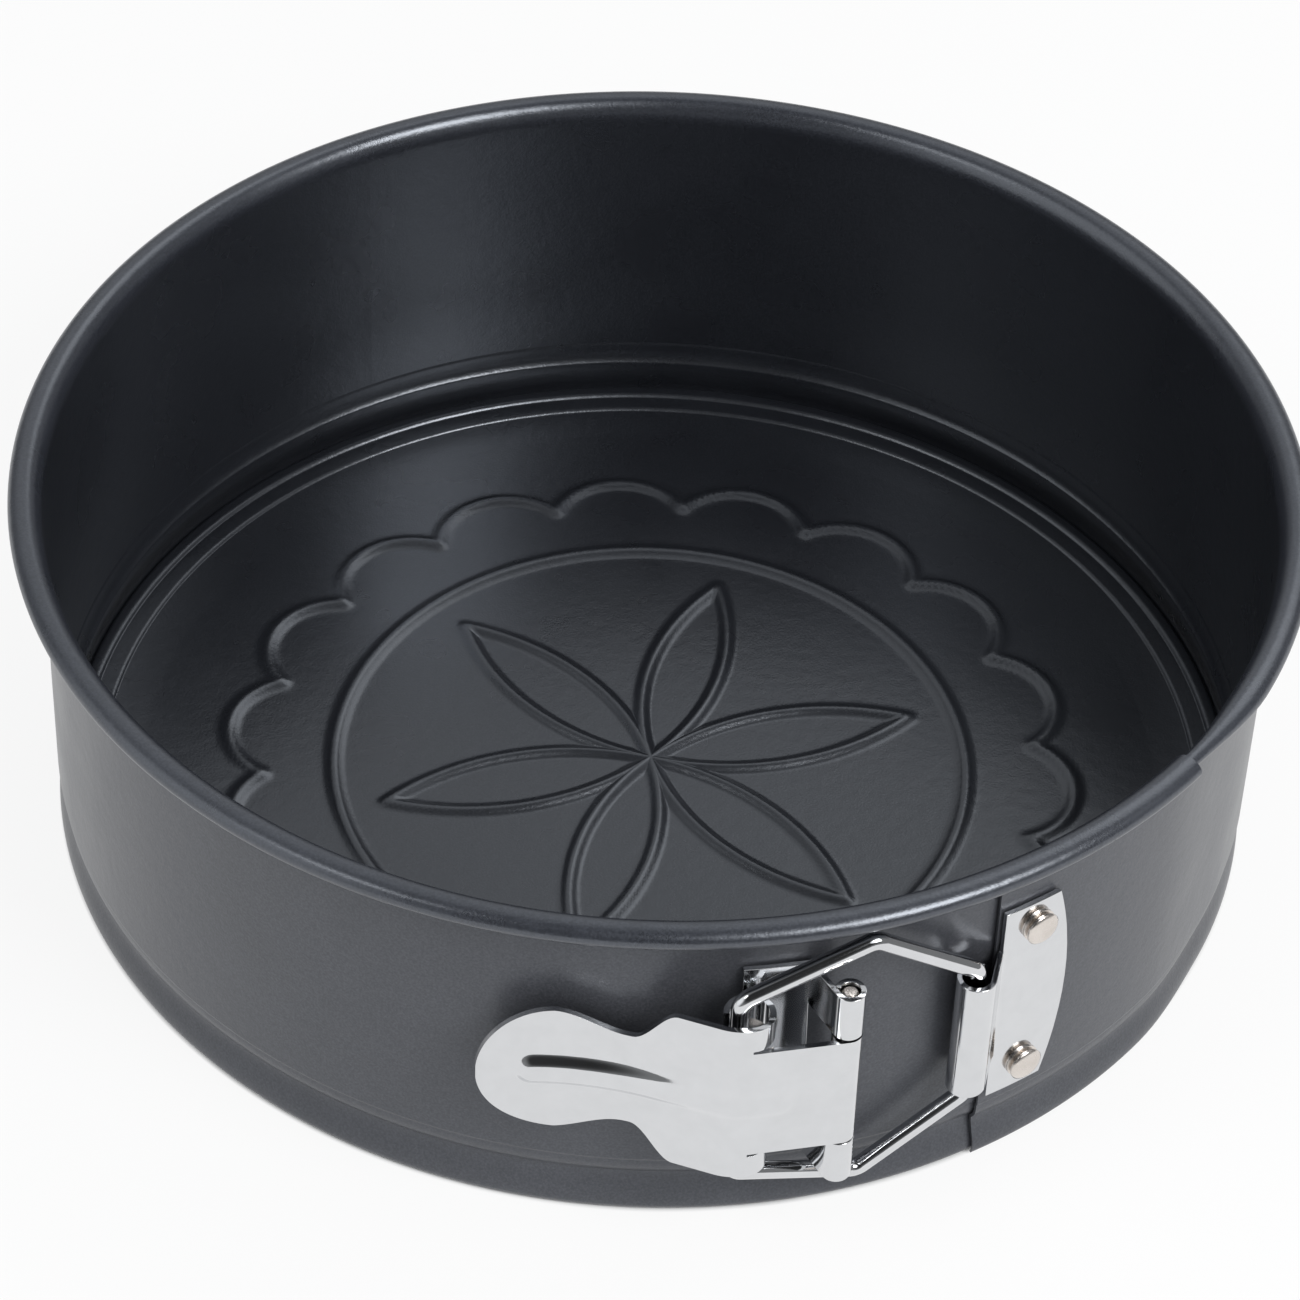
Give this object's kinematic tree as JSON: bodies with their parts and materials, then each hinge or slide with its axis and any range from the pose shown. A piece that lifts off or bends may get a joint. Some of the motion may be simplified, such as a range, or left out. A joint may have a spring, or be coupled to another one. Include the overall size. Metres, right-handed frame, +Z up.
{
  "type": "springform pan",
  "caption": "Round springform cake pan: dark coated band with rolled rim, closed by a plated lever latch with a wire bail, round a loose ribbed base plate.",
  "frame": {"origin": "on the pan's axis at the table, under the middle of the base plate", "axes": "+Z up along the pan's axis, -Y from the axis towards the latch's hinge pin, +X to the right when facing the latch"},
  "size_m": [0.21, 0.2152, 0.0659],
  "materials": {
    "dark_coating": "satin non-stick coating",
    "bright_plating": "bright plated",
    "warm_plating": "plated, slightly warm"
  },
  "bodies": {
    "base": {"base_plate": "dark_coating"},
    "ring_left": {"band_left": "dark_coating", "hinge_bracket": "bright_plating", "hinge_pin": "warm_plating", "bracket_rivet_upper": "warm_plating", "bracket_rivet_lower": "warm_plating"},
    "ring_right": {"band_right": "dark_coating", "keeper_plate": "bright_plating", "keeper_rivet_upper": "warm_plating", "keeper_rivet_lower": "warm_plating"},
    "lever": {"lever": "bright_plating"},
    "bail": {"bail": "bright_plating"}
  },
  "joints": [
    {"name": "ring_lift", "type": "slide", "parent": "base", "child": "ring_left", "axis": [0, 0, 1], "range_m": [0, 0.09]},
    {"name": "lever_swing", "type": "hinge", "parent": "ring_left", "child": "lever", "pos_m": [0, -0.1075, 0.03483], "axis": [0, 0, 1], "range_deg": [0, 90]},
    {"name": "ring_open", "type": "hinge", "parent": "ring_left", "child": "ring_right", "pos_m": [-0.0275, 0.09591, 0.03483], "axis": [0, 0, 1], "range_deg": [0, 1.6]},
    {"name": "bail_swing", "type": "hinge", "parent": "ring_right", "child": "bail", "pos_m": [0.02189, -0.10208, 0.03483], "axis": [0, 0, 1], "range_deg": [0, 31]}
  ],
  "couplings": [
    {"joint": "ring_open", "follows": "lever_swing", "ratio": 0.01739},
    {"joint": "bail_swing", "follows": "lever_swing", "ratio": 0.3411}
  ]
}
